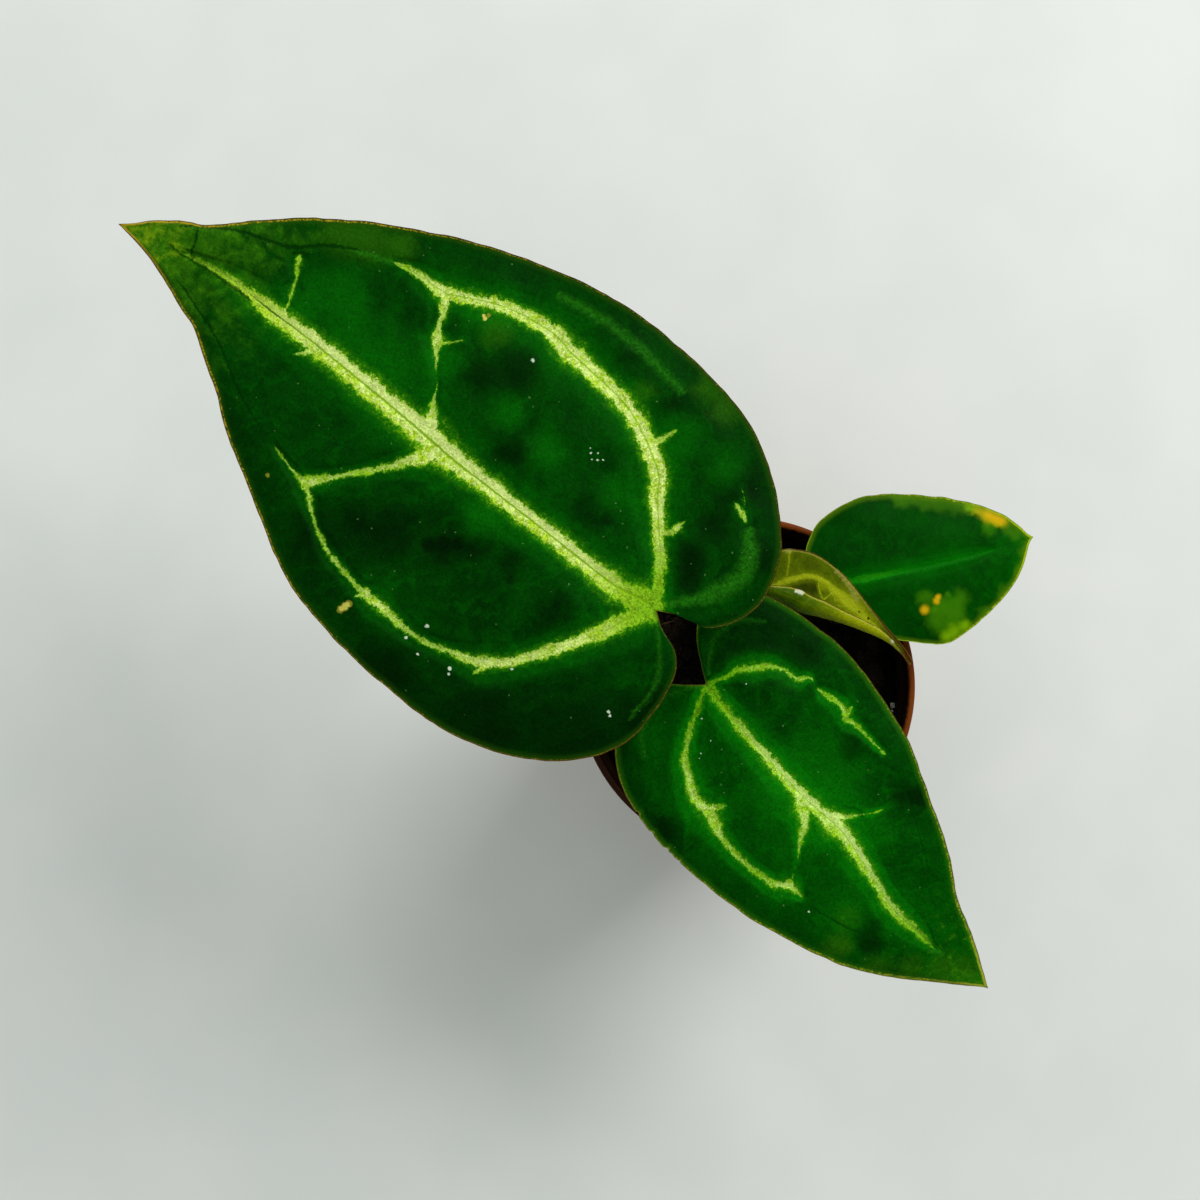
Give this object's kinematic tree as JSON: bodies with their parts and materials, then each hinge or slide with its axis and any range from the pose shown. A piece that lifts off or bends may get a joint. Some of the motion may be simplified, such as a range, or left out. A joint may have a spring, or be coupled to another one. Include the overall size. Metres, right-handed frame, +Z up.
{
  "type": "potted anthurium",
  "caption": "Young anthurium with heart-shaped, pale-veined leaves on long petioles, rooted in soil in a round nursery pot.",
  "frame": {"origin": "centre of the pot's base, on the surface it stands on", "axes": "+Z up along the pot's axis; the large leaf points towards -X and +Y, the medium leaf towards +X and -Y, so +X is the plant's longest way"},
  "size_m": [0.2294, 0.1864, 0.1585],
  "materials": {
    "pot_plastic": "satin",
    "potting_mix": "matte",
    "stem_bark": "matte",
    "petiole_green": "satin",
    "dry_bract": "matte",
    "velvet_leaf": "satin",
    "young_leaf": "satin",
    "opening_leaf": "satin"
  },
  "bodies": {
    "root": {"pot": "pot_plastic", "soil": "potting_mix", "stem": "stem_bark", "petiole_large": "petiole_green", "petiole_medium": "petiole_green", "petiole_small": "petiole_green", "petiole_new": "petiole_green", "cataphyll_1": "dry_bract", "cataphyll_2": "dry_bract", "blade_large": "velvet_leaf", "blade_medium": "velvet_leaf", "blade_small": "young_leaf", "blade_new": "opening_leaf"}
  },
  "joints": []
}
